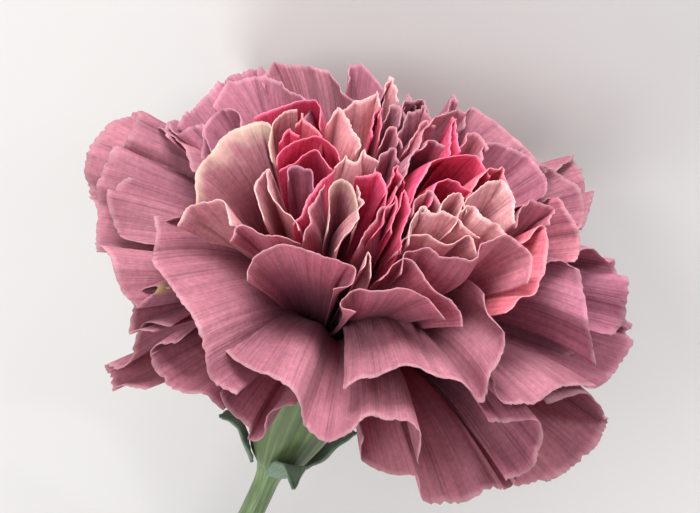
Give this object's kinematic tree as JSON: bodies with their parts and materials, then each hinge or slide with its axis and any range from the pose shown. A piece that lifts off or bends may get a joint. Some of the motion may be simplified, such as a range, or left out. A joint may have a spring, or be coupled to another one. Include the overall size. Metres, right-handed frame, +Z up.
{
  "type": "cut carnation",
  "caption": "Full double carnation bloom with ruffled toothed petals, toothed green calyx with bracts, and a short cut stem with narrow leaves, lying on its side.",
  "frame": {"origin": "middle of the bounding box's underside, on the surface the flower lies on", "axes": "+Y from the bloom's face back along the stem to its cut end, +Z up, +X to the bloom's left as its face is looked at from -Y with +Z up"},
  "size_m": [0.092, 0.1716, 0.0745],
  "materials": {
    "petal_outer": "soft velvety petal, dusty rose",
    "petal_inner": "soft velvety petal, mauve pink",
    "petal_heart": "soft velvety petal, hot pink",
    "calyx_skin": "smooth green plant skin with a faint waxy sheen",
    "bract_skin": "waxy green plant skin",
    "stem_skin": "waxy pale green plant skin",
    "leaf_skin": "blue-green waxy leaf"
  },
  "bodies": {
    "root": {"bract_front": "bract_skin", "bract_left": "bract_skin", "bract_rear": "bract_skin", "bract_right": "bract_skin", "calyx": "calyx_skin", "leaf_left": "leaf_skin", "leaf_right": "leaf_skin", "petal_coral_edge": "petal_inner", "petal_curl_right": "petal_outer", "petal_drape_front": "petal_outer", "petal_drape_left": "petal_outer", "petal_drape_right": "petal_outer", "petal_front_cup": "petal_inner", "petal_front_cup_rear": "petal_inner", "petal_front_left_cup": "petal_inner", "petal_front_left_fan": "petal_inner", "petal_front_left_frill": "petal_inner", "petal_front_pale": "petal_inner", "petal_front_right_cup": "petal_inner", "petal_guard_left": "petal_outer", "petal_guard_left_low": "petal_outer", "petal_guard_left_rear": "petal_outer", "petal_guard_left_tip": "petal_outer", "petal_guard_left_under": "petal_outer", "petal_guard_low_left": "petal_outer", "petal_guard_low_right": "petal_outer", "petal_guard_right": "petal_outer", "petal_guard_right_fan": "petal_outer", "petal_guard_right_far": "petal_outer", "petal_guard_right_rear": "petal_outer", "petal_guard_right_roll": "petal_outer", "petal_heart_bud": "petal_heart", "petal_heart_front_pleats": "petal_heart", "petal_heart_left_arc": "petal_heart", "petal_heart_left_ball": "petal_heart", "petal_heart_left_roll": "petal_heart", "petal_heart_middle_hot": "petal_heart", "petal_heart_middle_pale": "petal_heart", "petal_heart_rear_tall": "petal_heart", "petal_heart_right_bowl": "petal_heart", "petal_heart_right_fold": "petal_heart", "petal_heart_right_wall": "petal_heart", "petal_left_cup": "petal_inner", "petal_left_curl": "petal_inner", "petal_left_pale": "petal_inner", "petal_left_wing": "petal_inner", "petal_rear_left": "petal_outer", "petal_rear_left_inner": "petal_outer", "petal_rear_middle": "petal_outer", "petal_rear_right": "petal_outer", "petal_rear_right_front": "petal_outer", "petal_rear_right_inner": "petal_outer", "petal_side_right": "petal_outer", "petal_side_right_upper": "petal_outer", "petal_under_left": "petal_outer", "petal_under_rear": "petal_outer", "petal_under_rear_left": "petal_outer", "petal_under_rear_right": "petal_outer", "petal_under_right": "petal_outer", "stem": "stem_skin"}
  },
  "joints": []
}
